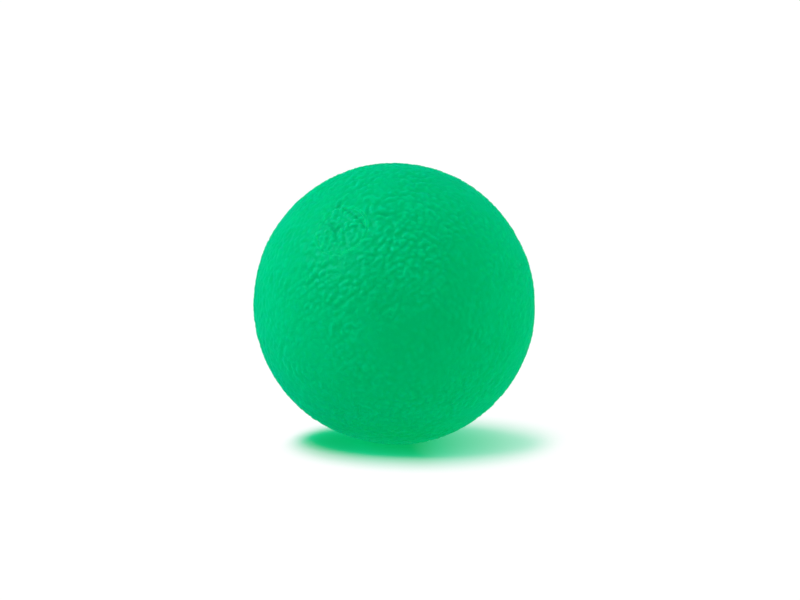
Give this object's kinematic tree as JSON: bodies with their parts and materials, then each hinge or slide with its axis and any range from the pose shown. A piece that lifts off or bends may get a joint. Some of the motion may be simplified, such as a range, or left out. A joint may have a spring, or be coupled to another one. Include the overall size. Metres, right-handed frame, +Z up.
{
  "type": "gel stress ball",
  "caption": "Green gel ball with a leather-grained skin, squeezed in the hand and springing back; a flush plug closes its filling port.",
  "frame": {"origin": "centre of the flat patch that the ball rests on", "axes": "+Z up through the ball's centre; the filling port's axis lies in the YZ plane and points to the front (-Y), 38 degrees above the horizontal"},
  "size_m": [0.05, 0.05, 0.0496],
  "materials": {
    "skin_rubber": "satin",
    "soft_gel": "gloss",
    "plug_rubber": "satin",
    "bond": "gloss"
  },
  "bodies": {
    "root": {"outer_skin": "skin_rubber"},
    "core": {"gel_core": "soft_gel"},
    "plug": {"port_plug": "plug_rubber", "plug_bond_ring": "bond"}
  },
  "joints": [
    {"name": "squeeze", "type": "slide", "parent": "root", "child": "core", "axis": [0, 0, -1], "range_m": [0, 0.0075], "stiffness_N_per_m": 3200, "deforming": ["outer_skin", "gel_core"]},
    {"name": "plug_ride", "type": "slide", "parent": "root", "child": "plug", "axis": [0, -0.3596, -0.9331], "range_m": [0, 0.0117]}
  ],
  "couplings": [
    {"joint": "plug_ride", "follows": "squeeze", "ratio": 1.5575}
  ]
}
